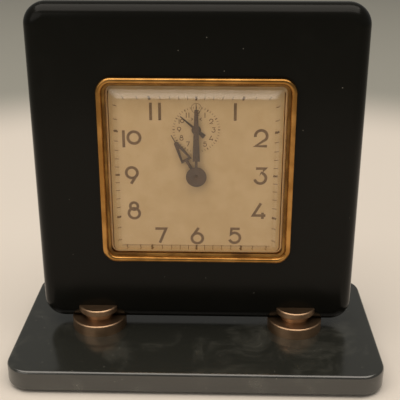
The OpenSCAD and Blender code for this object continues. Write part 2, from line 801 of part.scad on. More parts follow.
// spring strip wound into a spiral, its inner end on the arbor
module mainspring(outer_r, coil_z) {
    turns = 5;
    strip = 0.45;
    steps = 24;
    inner_r = coil_hub_r + run_gap;
    pitch = (outer_r - inner_r - strip) / turns;
    path_r = [for (i = [0:turns * steps]) inner_r + 0.06 + pitch * i / steps];
    angles = [for (i = [0:turns * steps]) 360 * i / steps];
    deep(coil_z) polygon(concat(
        [for (i = [0:turns * steps]) polar(path_r[i], angles[i])],
        [for (i = [turns * steps:-1:0]) polar(path_r[i] + strip, angles[i])]));
}
// pawl at the top of its ride over the ratchet's teeth
module click_lever() {
    at = polar(click_r, click_dir);
    translate([at[0], at[1], 0]) difference() {
        deep(ratchet_z) {
            circle(1.2);
            rotate(click_dir + 145) translate([0, -0.6]) square([2.6, 1.2]);
        }
        rod(pivot_r + run_gap, [ratchet_z[0] - 1, ratchet_z[1] + 1]);
    }
}
module click_post() {
    at = polar(click_r, click_dir);
    translate([at[0], at[1], 0]) rod(pivot_r, [great_z[1] - 0.2, ratchet_z[1] + 0.4]);
}
module time_winding_arbor() {
    color([0.6, 0.6, 0.6]) at_hub(time_at) winding_arbor(spring_z);
}
module time_winding_key() {
    color([0.7, 0.55, 0.3]) at_hub(time_at) winding_key();
}
module time_great_wheel() {
    color([0.75, 0.6, 0.32]) at_hub(time_at) {
        great_wheel(great_n);
        click_post();
    }
}
module time_mainspring() {
    color([0.35, 0.36, 0.4]) at_hub(time_at) mainspring(10.4, spring_z);
}
module time_click() {
    color([0.6, 0.6, 0.58]) at_hub(time_at) click_lever();
}
module alarm_winding_arbor() {
    color([0.6, 0.6, 0.6]) at_hub(alarm_main_at) winding_arbor(alarm_spring_z);
}
module alarm_winding_key() {
    color([0.7, 0.55, 0.3]) at_hub(alarm_main_at) winding_key();
}
module alarm_great_wheel() {
    color([0.75, 0.6, 0.32]) at_hub(alarm_main_at) {
        great_wheel(alarm_great_n);
        click_post();
    }
}
module alarm_mainspring() {
    color([0.35, 0.36, 0.4]) at_hub(alarm_main_at) mainspring(9.4, alarm_spring_z);
}
module alarm_click() {
    color([0.6, 0.6, 0.58]) at_hub(alarm_main_at) click_lever();
}

// ---- going train ----
module centre_wheel() {
    color([0.75, 0.6, 0.32])
    at_hub() difference() {
        union() {
            deep(centre_z) difference() {
                teeth(centre_n, third_m);
                rotate(45) spoke_gaps(4, 8.8, 2.6, 1.6);
            }
            rod(1.4, [front_in + 1, centre_z[0] + 0.1]);
            deep([front_in + 1, great_z[1] + 0.8])
                rotate(centre_pinion_turn) teeth(centre_pinion_n, main_m);
        }
        rod(arbor_r + run_gap, [front_in - 1, back_in]);
    }
}
module clutch_spring() {
    color([0.6, 0.6, 0.58])
    at_hub() difference() {
        rod(2.4, [centre_z[1] + 0.1, centre_z[1] + 0.5]);
        rod(arbor_r + push_gap, [centre_z[1] - 1, back_in]);
    }
}
module third_wheel() {
    color([0.75, 0.6, 0.32])
    at_hub(third_at) {
        arbor(0.7);
        deep(third_z) difference() {
            teeth(third_n, fourth_m);
            spoke_gaps(4, 7.6, 2, 1.3);
        }
        deep([centre_z[0] - 0.8, back_in - 0.5])
            rotate(third_pinion_turn) teeth(third_pinion_n, third_m);
    }
}
module fourth_wheel() {
    color([0.75, 0.6, 0.32])
    at_hub(fourth_at) {
        arbor(0.6);
        deep(fourth_z) difference() {
            teeth(fourth_n, escape_m);
            spoke_gaps(4, 6.1, 1.8, 1.1);
        }
        deep([third_z[0] - 0.2, third_z[1] + 0.4])
            rotate(fourth_pinion_turn) teeth(fourth_pinion_n, fourth_m);
    }
}
module escape_wheel() {
    color([0.75, 0.6, 0.32])
    at_hub(escape_at) {
        arbor(0.5);
        deep(escape_z) difference() {
            saw(escape_n, 4.6, 1.1);
            rotate(12) spoke_gaps(3, 3, 1.2, 0.9);
        }
        deep([fourth_z[0] - 0.4, fourth_z[1] + 0.4])
            rotate(escape_pinion_turn) teeth(escape_pinion_n, escape_m);
    }
}
module pallet_lever() {
    color([0.6, 0.6, 0.58])
    at_hub(pallet_at) {
        arbor(0.5);
        deep(pallet_z) {
            circle(1.2);
            rotate(lever_dir) translate([0, -0.35]) square([6.6, 0.7]);
            for (s = [-1, 1]) rotate(pallet_dir + 180 + s * 38) translate([0, -0.35])
                square([4.6, 0.7]);
        }
        for (s = [-1, 1]) rotate([0, 0, pallet_dir + 180 + s * 38]) translate([4.3, 0, 0])
            rod(0.2, [pallet_z[0], escape_z[0] - 0.15]);
    }
}
module balance_wheel() {
    color([0.72, 0.58, 0.34])
    at_hub(balance_at) {
        arbor(0.6);
        deep(balance_z) {
            difference() {
                circle(balance_r);
                circle(balance_r - 0.9);
            }
            translate([0.3 - balance_r, -0.5]) square([2 * balance_r - 0.6, 1]);
            circle(1.4);
        }
    }
}
module hairspring() {
    turns = 4;
    steps = 24;
    strip = 0.14;
    inner = 0.6;
    pitch = 0.62;
    color([0.3, 0.35, 0.5])
    at_hub(balance_at) deep(hairspring_z) polygon(concat(
        [for (i = [0:turns * steps]) polar(inner + run_gap + pitch * i / steps, 360 * i / steps)],
        [for (i = [turns * steps:-1:0])
            polar(inner + run_gap + strip + pitch * i / steps, 360 * i / steps)]));
}
module regulator() {
    tip = polar(regulator_r, regulator_mid);
    color([0.6, 0.6, 0.58])
    at_hub(balance_at) {
        deep(regulator_z) difference() {
            union() {
                circle(2.2);
                rotate(regulator_mid) translate([0, -0.6]) square([regulator_r, 1.2]);
                translate(tip) circle(1.3);
            }
            circle(0.9);
        }
        translate(concat(tip, 0)) rod(0.8, [regulator_z[1] - 0.3, cover_out + 2.4]);
    }
}

// ---- alarm ----
module bell_wheel() {
    color([0.75, 0.6, 0.32])
    at_hub(bell_wheel_at) {
        arbor(0.7);
        deep(bell_z) saw(alarm_escape_n, 5, 1.2);
        deep([great_z[0] - 0.5, great_z[1] + 0.5])
            rotate(bell_pinion_turn) teeth(alarm_pinion_n, main_m);
    }
}
module hammer() {
    reach_to = [7.5, -16];
    swing = atan2(reach_to[1], reach_to[0]);
    color([0.6, 0.6, 0.58])
    at_hub(hammer_at) {
        arbor(0.7);
        deep(hammer_z) {
            circle(1.5);
            rotate(swing) translate([0, -0.5]) square([norm(reach_to), 1]);
            for (s = [-1, 1]) rotate(230 + s * 36) translate([0, -0.4]) square([4.4, 0.8]);
        }
        translate(concat(reach_to, 0)) rod(2.1, [hammer_z[0] - 1, hammer_z[1] + 1]);
    }
}
module stop_plunger() {
    color([0.7, 0.55, 0.3])
    at_hub(stop_at) {
        rod(stop_r, [back_out + 0.6, cover_out + 5]);
        rod(2.6, [cover_out + 4, cover_out + 6.4]);
    }
}

base_plate();
base_felt();
foot_left();
foot_right();
base_screws();
slab_inserts();
front_slab();
bezel();
crystal();
dial_spacer();
dial();
retaining_frame();
clamp_screws();
case_can();
back_cover();
cover_screws();
front_plate();
back_plate();
pillars();
plate_nuts();
centre_arbor();
centre_wheel();
clutch_spring();
cannon_pinion();
minute_wheel();
minute_post();
hour_wheel();
minute_hand();
hour_hand();
time_set_knob();
alarm_arbor();
alarm_hand();
alarm_wheel();
alarm_set_knob();
time_winding_arbor();
time_winding_key();
time_great_wheel();
time_mainspring();
time_click();
third_wheel();
fourth_wheel();
escape_wheel();
pallet_lever();
balance_wheel();
hairspring();
regulator();
alarm_winding_arbor();
alarm_winding_key();
alarm_great_wheel();
alarm_mainspring();
alarm_click();
bell_wheel();
hammer();
stop_plunger();
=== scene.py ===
import math
import bpy
import bmesh
from mathutils import Matrix, Vector


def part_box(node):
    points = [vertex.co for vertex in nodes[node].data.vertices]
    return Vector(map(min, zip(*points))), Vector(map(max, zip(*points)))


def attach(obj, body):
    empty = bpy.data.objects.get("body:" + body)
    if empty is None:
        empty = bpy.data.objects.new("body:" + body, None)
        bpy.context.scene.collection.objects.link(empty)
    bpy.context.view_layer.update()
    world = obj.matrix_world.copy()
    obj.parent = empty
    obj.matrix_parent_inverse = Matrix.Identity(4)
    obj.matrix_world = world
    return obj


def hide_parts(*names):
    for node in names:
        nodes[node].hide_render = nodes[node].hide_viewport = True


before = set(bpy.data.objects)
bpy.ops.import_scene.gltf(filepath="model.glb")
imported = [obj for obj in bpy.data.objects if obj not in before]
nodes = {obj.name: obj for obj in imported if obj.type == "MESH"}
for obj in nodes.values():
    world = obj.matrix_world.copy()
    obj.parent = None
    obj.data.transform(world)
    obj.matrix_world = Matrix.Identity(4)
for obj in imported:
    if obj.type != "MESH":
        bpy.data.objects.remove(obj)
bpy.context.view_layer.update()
mm = 0.001
standBody = "stand"

# places read from the model
slabLow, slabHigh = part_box("front_slab")
baseLow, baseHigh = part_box("base_plate")
bezelLow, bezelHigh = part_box("bezel")
hubLow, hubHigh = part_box("centre_arbor")
alarmLow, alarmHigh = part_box("alarm_arbor")
slabFront = slabLow[1]
slabBack = slabHigh[1]
slabMid = (slabLow[2] + slabHigh[2]) / 2
bezelMid = (bezelLow[2] + bezelHigh[2]) / 2
bezelHalf = (bezelHigh[0] - bezelLow[0]) / 2
hubZ = (hubLow[2] + hubHigh[2]) / 2
alarmZ = (alarmLow[2] + alarmHigh[2]) / 2
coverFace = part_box("back_cover")[1][1]
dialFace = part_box("dial")[0][1]
print("frame loaded")


def addNode(tree, kind, **settings):
    node = tree.nodes.new(kind)
    for key, value in settings.items():
        if key.startswith("in_"):
            node.inputs[key[3:].replace("_", " ")].default_value = value
        else:
            setattr(node, key, value)
    return node


def startGroup(name, kind, inputs, outputs):
    group = bpy.data.node_groups.new(name, kind)
    for label, (socket, value) in inputs.items():
        made = group.interface.new_socket(name=label, in_out="INPUT", socket_type=socket)
        if value is not None:
            made.default_value = value
    for label, socket in outputs.items():
        group.interface.new_socket(name=label, in_out="OUTPUT", socket_type=socket)
    return group, group.nodes.new("NodeGroupInput"), group.nodes.new("NodeGroupOutput")


def stretchedPoint(group, start):
    # object point, divided by the size of the effect in millimetres
    size = addNode(group, "ShaderNodeMath", operation="DIVIDE")
    size.inputs[0].default_value = 1000
    group.links.new(start.outputs["Size"], size.inputs[1])
    scale = addNode(group, "ShaderNodeVectorMath", operation="SCALE")
    group.links.new(start.outputs["Vector"], scale.inputs[0])
    group.links.new(size.outputs[0], scale.inputs["Scale"])
    return scale.outputs[0]


def ramp(tree, source, low, high):
    step = addNode(tree, "ShaderNodeMapRange", interpolation_type="SMOOTHSTEP")
    step.inputs["From Min"].default_value = low
    step.inputs["From Max"].default_value = high
    tree.links.new(source, step.inputs["Value"])
    return step.outputs["Result"]


def makeGrain():
    group, start, end = startGroup("fineGrain", "ShaderNodeTree",
        {"Vector": ("NodeSocketVector", None), "Size": ("NodeSocketFloat", 0.5)},
        {"Height": "NodeSocketFloat", "Tone": "NodeSocketFloat"})
    point = stretchedPoint(group, start)
    fine = addNode(group, "ShaderNodeTexNoise", in_Scale=1.0, in_Detail=4.0, in_Roughness=0.6)
    group.links.new(point, fine.inputs["Vector"])
    broad = addNode(group, "ShaderNodeTexNoise", in_Scale=0.04, in_Detail=3.0)
    group.links.new(point, broad.inputs["Vector"])
    group.links.new(fine.outputs["Fac"], end.inputs["Height"])
    group.links.new(broad.outputs["Fac"], end.inputs["Tone"])
    return group


def makeDust():
    group, start, end = startGroup("dustAndSmears", "ShaderNodeTree",
        {"Vector": ("NodeSocketVector", None), "Size": ("NodeSocketFloat", 1.0),
         "Amount": ("NodeSocketFloat", 0.5)},
        {"Specks": "NodeSocketFloat", "Smears": "NodeSocketFloat"})
    point = stretchedPoint(group, start)
    specks = addNode(group, "ShaderNodeTexVoronoi", in_Scale=0.35)
    group.links.new(point, specks.inputs["Vector"])
    near = addNode(group, "ShaderNodeMath", operation="LESS_THAN")
    group.links.new(specks.outputs["Distance"], near.inputs[0])
    near.inputs[1].default_value = 0.045
    picked = addNode(group, "ShaderNodeSeparateColor")
    group.links.new(specks.outputs["Color"], picked.inputs[0])
    rare = addNode(group, "ShaderNodeMath", operation="LESS_THAN")
    group.links.new(picked.outputs[0], rare.inputs[0])
    group.links.new(start.outputs["Amount"], rare.inputs[1])
    both = addNode(group, "ShaderNodeMath", operation="MULTIPLY")
    group.links.new(near.outputs[0], both.inputs[0])
    group.links.new(rare.outputs[0], both.inputs[1])
    cloud = addNode(group, "ShaderNodeTexNoise", in_Scale=0.06, in_Detail=6.0, in_Roughness=0.62,
        in_Distortion=0.6)
    group.links.new(point, cloud.inputs["Vector"])
    smear = addNode(group, "ShaderNodeMath", operation="MULTIPLY")
    group.links.new(ramp(group, cloud.outputs["Fac"], 0.5, 0.78), smear.inputs[0])
    group.links.new(start.outputs["Amount"], smear.inputs[1])
    group.links.new(both.outputs[0], end.inputs["Specks"])
    group.links.new(smear.outputs[0], end.inputs["Smears"])
    return group


def makeBrushing():
    # long scratches along X of the point that comes in
    group, start, end = startGroup("brushedLines", "ShaderNodeTree",
        {"Vector": ("NodeSocketVector", None), "Size": ("NodeSocketFloat", 0.3)},
        {"Height": "NodeSocketFloat", "Tone": "NodeSocketFloat"})
    point = stretchedPoint(group, start)
    long = addNode(group, "ShaderNodeVectorMath", operation="MULTIPLY")
    long.inputs[1].default_value = (0.04, 1, 1)
    group.links.new(point, long.inputs[0])
    lines = addNode(group, "ShaderNodeTexNoise", in_Scale=1.0, in_Detail=5.0, in_Roughness=0.7)
    group.links.new(long.outputs[0], lines.inputs["Vector"])
    tone = addNode(group, "ShaderNodeTexNoise", in_Scale=0.03, in_Detail=4.0)
    group.links.new(point, tone.inputs["Vector"])
    group.links.new(lines.outputs["Fac"], end.inputs["Height"])
    group.links.new(tone.outputs["Fac"], end.inputs["Tone"])
    return group


grainGroup = makeGrain()
dustGroup = makeDust()
brushingGroup = makeBrushing()


def startMaterial(name, color, metallic=0.0, roughness=0.5, ior=1.5, specular=0.5, coat=0.0,
                  center=(0, 0, 0), turn=(0, 0, 0)):
    mat = bpy.data.materials.new(name)
    mat.use_nodes = True
    tree = mat.node_tree
    shader = next(n for n in tree.nodes if n.type == "BSDF_PRINCIPLED")
    shader.inputs["Base Color"].default_value = (*color, 1)
    shader.inputs["Metallic"].default_value = metallic
    shader.inputs["Roughness"].default_value = roughness
    shader.inputs["IOR"].default_value = ior
    shader.inputs["Specular IOR Level"].default_value = specular
    if coat:
        shader.inputs["Coat Weight"].default_value = coat
        shader.inputs["Coat Roughness"].default_value = 0.08
    place = addNode(tree, "ShaderNodeTexCoord")
    shift = addNode(tree, "ShaderNodeMapping")
    shift.inputs["Location"].default_value = tuple(-c for c in center)
    shift.inputs["Rotation"].default_value = turn
    tree.links.new(place.outputs["Object"], shift.inputs["Vector"])
    return mat, tree, shader, shift.outputs["Vector"]


def useGroup(tree, group, vector, **values):
    node = addNode(tree, "ShaderNodeGroup")
    node.node_tree = group
    tree.links.new(vector, node.inputs["Vector"])
    for key, value in values.items():
        node.inputs[key].default_value = value
    return node


def mixColors(tree, factor, first, second):
    mix = addNode(tree, "ShaderNodeMix", data_type="RGBA")
    tree.links.new(factor, mix.inputs["Factor"])
    for value, socket in ((first, mix.inputs["A"]), (second, mix.inputs["B"])):
        if isinstance(value, tuple):
            socket.default_value = (*value, 1)
        else:
            tree.links.new(value, socket)
    return mix.outputs["Result"]


def spread(tree, source, low, high):
    node = addNode(tree, "ShaderNodeMapRange")
    tree.links.new(source, node.inputs["Value"])
    node.inputs["To Min"].default_value = low
    node.inputs["To Max"].default_value = high
    return node.outputs["Result"]


def addBump(tree, shader, height, strength, distance):
    bump = addNode(tree, "ShaderNodeBump")
    bump.inputs["Strength"].default_value = strength
    bump.inputs["Distance"].default_value = distance
    tree.links.new(height, bump.inputs["Height"])
    tree.links.new(bump.outputs["Normal"], shader.inputs["Normal"])


def blackGloss(name, settings):
    mat, tree, shader, point = startMaterial(name, settings["color"],
        roughness=settings["roughness"], ior=settings["ior"])
    dust = useGroup(tree, dustGroup, point, Size=settings["dustSize"], Amount=settings["dust"])
    grain = useGroup(tree, grainGroup, point, Size=4.0)
    film = mixColors(tree, dust.outputs["Smears"], settings["color"], settings["smearColor"])
    speckled = mixColors(tree, dust.outputs["Specks"], film, settings["speckColor"])
    tree.links.new(speckled, shader.inputs["Base Color"])
    rough = addNode(tree, "ShaderNodeMath", operation="MULTIPLY_ADD")
    tree.links.new(dust.outputs["Smears"], rough.inputs[0])
    rough.inputs[1].default_value = settings["smearRoughness"]
    rough.inputs[2].default_value = settings["roughness"]
    tree.links.new(rough.outputs[0], shader.inputs["Roughness"])
    addBump(tree, shader, grain.outputs["Height"], 0.12, 0.00002)
    return mat


def metal(name, color, dark, roughness, group, size, bump, center=(0, 0, 0), turn=(0, 0, 0)):
    mat, tree, shader, point = startMaterial(name, color, metallic=1.0, roughness=roughness,
        center=center, turn=turn)
    marks = useGroup(tree, group, point, Size=size)
    tree.links.new(mixColors(tree, ramp(tree, marks.outputs["Tone"], 0.35, 0.7), dark, color),
        shader.inputs["Base Color"])
    tree.links.new(spread(tree, marks.outputs["Height"], roughness * 0.75, roughness * 1.3),
        shader.inputs["Roughness"])
    addBump(tree, shader, marks.outputs["Height"], bump, 0.00003)
    return mat


def paint(name, color, dark, roughness, size, bump=0.2, specular=0.5, coat=0.0):
    mat, tree, shader, point = startMaterial(name, color, roughness=roughness, specular=specular,
        coat=coat)
    grain = useGroup(tree, grainGroup, point, Size=size)
    tree.links.new(mixColors(tree, ramp(tree, grain.outputs["Tone"], 0.3, 0.7), dark, color),
        shader.inputs["Base Color"])
    tree.links.new(spread(tree, grain.outputs["Height"], roughness * 0.85, roughness * 1.15),
        shader.inputs["Roughness"])
    addBump(tree, shader, grain.outputs["Height"], bump, 0.00002)
    return mat


slabFinish = {"color": (0.005, 0.0048, 0.0036), "roughness": 0.2, "ior": 1.23, "dustSize": 1.1,
    "dust": 0.16, "smearColor": (0.014, 0.013, 0.011), "speckColor": (0.32, 0.30, 0.26),
    "smearRoughness": 0.22}
baseFinish = {"color": (0.02, 0.0205, 0.017), "roughness": 0.16, "ior": 1.85, "dustSize": 1.0,
    "dust": 0.7, "smearColor": (0.075, 0.074, 0.062), "speckColor": (0.32, 0.30, 0.26),
    "smearRoughness": 0.22}
slabMat = blackGloss("slabGloss", slabFinish)
baseMat = blackGloss("baseGloss", baseFinish)
feltMat = paint("greenFelt", (0.03, 0.055, 0.035), (0.018, 0.035, 0.022), 0.95, 0.35, 0.9, 0.1)
copperMat = metal("satinCopper", (0.55, 0.36, 0.22), (0.36, 0.235, 0.145), 0.38, brushingGroup, 0.25, 0.25)
bezelMat = metal("bezelBrass", (0.52, 0.27, 0.08), (0.34, 0.165, 0.043), 0.25, brushingGroup, 0.2, 0.12)
# darker copy of the bezel brass: painted shade in the bezel's concave groove, and also the real colour of
# the arrows on the back cover
grooveShadeAndArrowMat = metal("grooveShadeAndArrowBrass", (0.36, 0.20, 0.06), (0.16, 0.08, 0.025), 0.4, grainGroup, 0.3, 0.3)
dialMat = paint("dialPaint", (0.55, 0.392, 0.219), (0.508, 0.352, 0.185), 0.6, 0.25, 0.25, 0.35)
inkMat = paint("brownInk", (0.16, 0.085, 0.03), (0.12, 0.06, 0.02), 0.55, 0.2, 0.2, 0.4)
handMat = paint("handPaint", (0.075, 0.036, 0.016), (0.05, 0.024, 0.011), 0.34, 0.2, 0.2, 0.5)
canMat = metal("platedSteel", (0.52, 0.51, 0.48), (0.40, 0.38, 0.34), 0.34, brushingGroup, 0.35, 0.2)
coverMat = metal("lacqueredBrass", (0.66, 0.48, 0.22), (0.50, 0.33, 0.13), 0.3, brushingGroup, 0.3, 0.25)
movementMat = metal("movementBrass", (0.74, 0.56, 0.26), (0.6, 0.42, 0.17), 0.28, brushingGroup, 0.25, 0.2)
knobMat = metal("knobBrass", (0.70, 0.50, 0.22), (0.50, 0.32, 0.12), 0.26, grainGroup, 0.4, 0.2)
steelMat = metal("brightSteel", (0.60, 0.60, 0.58), (0.46, 0.45, 0.42), 0.26, brushingGroup, 0.2, 0.2)
brownedMat = metal("brownedSteel", (0.16, 0.10, 0.065), (0.09, 0.055, 0.035), 0.35, grainGroup, 0.2, 0.2)
springMat = metal("bluedSteel", (0.12, 0.14, 0.22), (0.07, 0.08, 0.13), 0.3, brushingGroup, 0.25, 0.2)


# little bending of the view, with the gloss of glass from a coat
glassFinish = {"color": (1, 0.985, 0.95), "roughness": 0.02, "ior": 1.12, "coat": 0.7,
    "dustSize": 0.8, "dust": 0.2, "cleanest": 0.015, "dullest": 0.12,
    "shadowColor": (0.95, 0.93, 0.88)}


def crystalGlass(s):
    mat, tree, shader, point = startMaterial("clearCrystal", s["color"], roughness=s["roughness"],
        ior=s["ior"], coat=s["coat"])
    shader.inputs["Transmission Weight"].default_value = 1.0
    dust = useGroup(tree, dustGroup, point, Size=s["dustSize"], Amount=s["dust"])
    tree.links.new(spread(tree, dust.outputs["Smears"], s["cleanest"], s["dullest"]),
        shader.inputs["Roughness"])
    # lamps shine through it on to the dial
    clear = addNode(tree, "ShaderNodeBsdfTransparent")
    clear.inputs["Color"].default_value = (*s["shadowColor"], 1)
    path = addNode(tree, "ShaderNodeLightPath")
    both = addNode(tree, "ShaderNodeMixShader")
    out = next(n for n in tree.nodes if n.type == "OUTPUT_MATERIAL")
    tree.links.new(path.outputs["Is Shadow Ray"], both.inputs[0])
    tree.links.new(shader.outputs[0], both.inputs[1])
    tree.links.new(clear.outputs[0], both.inputs[2])
    tree.links.new(both.outputs[0], out.inputs["Surface"])
    return mat


crystalMat = crystalGlass(glassFinish)
print("materials made")


def finishPiece(obj, body, standsFor=()):
    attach(obj, body)
    if standsFor:
        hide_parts(*standsFor)


def makeMesh(name, points, faces, mats, faceMats=None, sharp=30):
    mesh = bpy.data.meshes.new(name)
    mesh.from_pydata([tuple(p) for p in points], [], faces)
    for mat in mats if isinstance(mats, (list, tuple)) else [mats]:
        mesh.materials.append(mat)
    if faceMats:
        mesh.polygons.foreach_set("material_index", faceMats)
    build = bmesh.new()
    build.from_mesh(mesh)
    bmesh.ops.remove_doubles(build, verts=build.verts, dist=1e-7)
    bmesh.ops.recalc_face_normals(build, faces=build.faces)
    build.to_mesh(mesh)
    build.free()
    mesh.shade_smooth()
    mesh.set_sharp_from_angle(angle=math.radians(sharp))
    obj = bpy.data.objects.new(name, mesh)
    bpy.context.scene.collection.objects.link(obj)
    return obj


def cornerPath(halfW, halfH, radius, steps):
    # points round a rounded rectangle, anticlockwise, with the same count at every size
    points = []
    for corner in range(4):
        cx = (halfW - radius) * (1 if corner in (0, 3) else -1)
        cz = (halfH - radius) * (1 if corner in (0, 1) else -1)
        for k in range(steps + 1):
            a = math.radians(90 * corner + 90 * k / steps)
            points.append((cx + radius * math.cos(a), cz + radius * math.sin(a)))
    return points


def loft(name, rings, mats, place, capFirst=False, capLast=False, closed=False, faceMat=None,
         sharp=30):
    # rings of (x, z) points with their own depth, joined in order
    points, faces, faceMats = [], [], []
    count = len(rings[0][0])
    for ring, depth in rings:
        points += [place(x, z, depth) for x, z in ring]
    total = len(rings)
    for r in range(total if closed else total - 1):
        a, b = r * count, ((r + 1) % total) * count
        for k in range(count):
            n = (k + 1) % count
            faces.append((a + k, a + n, b + n, b + k))
            faceMats.append(faceMat(r) if faceMat else 0)
    if capFirst:
        faces.append(tuple(range(count)))
        faceMats.append(0)
    if capLast:
        faces.append(tuple(range((total - 1) * count, total * count)))
        faceMats.append(0)
    return makeMesh(name, points, faces, mats, faceMats, sharp)


def atBezel(x, z, depth):
    return (x, slabFront + depth, bezelMid + z)


def edgeArc(radius, steps, start, end):
    # (inset, depth) pairs round an edge of that radius
    out = []
    for k in range(steps + 1):
        a = math.radians(start + (end - start) * k / steps)
        out.append((radius - radius * math.cos(a), radius - radius * math.sin(a)))
    return out


slabShape = {"corner": 8.0 * mm, "edge": 5.5 * mm, "opening": bezelHalf - 1.7 * mm,
    "openingCorner": 3.8 * mm, "steps": 14}


def makeSlab(s):
    halfW = (slabHigh[0] - slabLow[0]) / 2
    halfH = (slabHigh[2] - slabLow[2]) / 2
    thick = slabBack - slabFront
    shift = bezelMid - slabMid
    hole = [(x, z + shift) for x, z in cornerPath(s["opening"], s["opening"], s["openingCorner"],
        s["steps"])]
    front = edgeArc(s["edge"], s["steps"], 90, 0)
    rings = [(hole, 0.0)]
    for inset, depth in front:
        rings.append((cornerPath(halfW - inset, halfH - inset, s["corner"] - inset, s["steps"]),
            depth))
    for inset, depth in reversed(front):
        rings.append((cornerPath(halfW - inset, halfH - inset, s["corner"] - inset, s["steps"]),
            thick - depth))
    rings.append((hole, thick))
    place = lambda x, z, d: (x, slabFront + d, slabMid + z)
    return loft("frontSlab", rings, slabMat, place, closed=True)


finishPiece(makeSlab(slabShape), standBody, ["front_slab"])

baseShape = {"corner": 9.5 * mm, "edge": 1.2 * mm, "steps": 12, "edgeSteps": 6}


def makeBase(s):
    halfW = (baseHigh[0] - baseLow[0]) / 2
    halfD = (baseHigh[1] - baseLow[1]) / 2
    thick = baseHigh[2] - baseLow[2]
    arc = edgeArc(s["edge"], s["edgeSteps"], 90, 0)
    rings = [(cornerPath(halfW - i, halfD - i, s["corner"] - i, s["steps"]), thick - d)
        for i, d in arc]
    rings += [(cornerPath(halfW - i, halfD - i, s["corner"] - i, s["steps"]), d)
        for i, d in reversed(arc)]
    place = lambda x, y, up: (x, y, baseLow[2] + up)
    return loft("basePlate", rings, baseMat, place, capFirst=True, capLast=True)


finishPiece(makeBase(baseShape), standBody, ["base_plate"])
print("slab and base made")

bezelShape = {"outer": bezelHalf, "corner": 5.5 * mm, "proud": 2.6 * mm, "bead": 1.1 * mm,
    "sleeveOut": bezelHalf - 1.8 * mm, "sleeveIn": bezelHalf - 2.5 * mm,
    "lip": bezelHalf - 3.1 * mm, "steps": 14, "beadSteps": 12, "shadedGrooveRings": (14, 19),
    "smallestCorner": 0.6 * mm}


def makeBezel(s):
    # (half width, depth) pairs, anticlockwise, from the foot of the bead outwards and round
    profile = [(s["outer"] - 0.05 * mm, 0), (s["outer"], -0.25 * mm),
        (s["outer"], -(s["proud"] - s["bead"]))]
    centre = (s["outer"] - s["bead"], -(s["proud"] - s["bead"]))
    for k in range(1, s["beadSteps"]):
        a = math.radians(180 * k / s["beadSteps"])
        profile.append((centre[0] + s["bead"] * math.cos(a), centre[1] - s["bead"] * math.sin(a)))
    innerBead = s["outer"] - 2 * s["bead"]
    profile += [(innerBead, -(s["proud"] - 1.45 * mm)), (innerBead - 0.1 * mm, -0.98 * mm),
        (s["lip"] + 0.4 * mm, -0.9 * mm), (s["lip"] + 0.1 * mm, -0.86 * mm),
        (s["lip"], -0.75 * mm), (s["lip"], -0.12 * mm), (s["sleeveIn"], -0.1 * mm),
        (s["sleeveIn"], bezelHigh[1] - slabFront), (s["sleeveOut"], bezelHigh[1] - slabFront),
        (s["sleeveOut"], 0)]
    # rings from the inner bead down into the groove take the darker brass, which is painted shade in the
    # concave band
    groove = range(*s["shadedGrooveRings"])
    rings = []
    for half, depth in profile:
        radius = max(s["corner"] - (s["outer"] - half), s["smallestCorner"])
        rings.append((cornerPath(half, half, radius, s["steps"]), depth))
    return loft("bezelRing", rings, [bezelMat, grooveShadeAndArrowMat], atBezel, closed=True,
        faceMat=lambda r: 1 if r in groove else 0, sharp=40)


finishPiece(makeBezel(bezelShape), standBody, ["bezel"])

crystalShape = {"foot": bezelHalf - 3.25 * mm, "footCorner": 2.4 * mm,
    "flat": bezelHalf - 6.95 * mm, "flatCorner": 1.1 * mm, "proud": 3.3 * mm,
    "flange": bezelHalf - 2.7 * mm, "flangeCorner": 2.7 * mm, "flangeBack": 0.8 * mm,
    "innerCorner": 1.6 * mm, "wall": 1.2 * mm, "round": 0.55 * mm, "turnSteps": 6, "steps": 8}


def makeCrystal(s):
    def ringAt(half, corner, depth):
        return (cornerPath(half, half, corner, s["steps"]), depth)
    def shoulder(half, corner, proud, rounding):
        # rounded turn from the sloping border into the flat front
        out = []
        for k in range(s["turnSteps"] + 1):
            t = k / s["turnSteps"]
            inset = rounding * (t ** 1.6) * 1.9
            depth = -(proud - rounding * 0.42 * (1 - t) ** 2)
            out.append(ringAt(half + rounding * 0.45 - inset, corner, depth))
        return out
    rings = [ringAt(s["flange"], s["flangeCorner"], s["flangeBack"]),
        ringAt(s["flange"], s["flangeCorner"], -0.08 * mm),
        ringAt(s["foot"], s["footCorner"], -0.09 * mm),
        ringAt(s["foot"] - 0.05 * mm, s["footCorner"], -0.4 * mm)]
    rings += shoulder(s["flat"], s["flatCorner"], s["proud"], s["round"])
    outer = len(rings)
    inner = [ringAt(s["flange"] - 1.4 * mm, s["innerCorner"], s["flangeBack"]),
        ringAt(s["foot"] - s["wall"], s["innerCorner"], -0.1 * mm)]
    inner += shoulder(s["flat"] - 0.6 * mm, 0.7 * mm, s["proud"] - s["wall"], s["round"] * 0.7)
    count = len(rings[0][0])
    points, faces = [], []
    for ring, depth in rings + inner:
        points += [atBezel(x, z, depth) for x, z in ring]
    total = outer + len(inner)
    for r in range(total - 1):
        if r == outer - 1:
            continue
        a, b = r * count, (r + 1) * count
        for k in range(count):
            n = (k + 1) % count
            faces.append((a + k, a + n, b + n, b + k))
    faces.append(tuple(range((outer - 1) * count, outer * count)))
    faces.append(tuple(range((total - 1) * count, total * count)))
    for k in range(count):  # back face of the flange
        n = (k + 1) % count
        faces.append((k, n, outer * count + n, outer * count + k))
    return makeMesh("crystalShell", points, faces, crystalMat, sharp=28)


finishPiece(makeCrystal(crystalShape), standBody, ["crystal"])
print("bezel and crystal made")

inkShape = {"height": 0.03 * mm, "tall": 6.4 * mm, "stroke": 1.02 * mm, "layer": 0.0015 * mm}


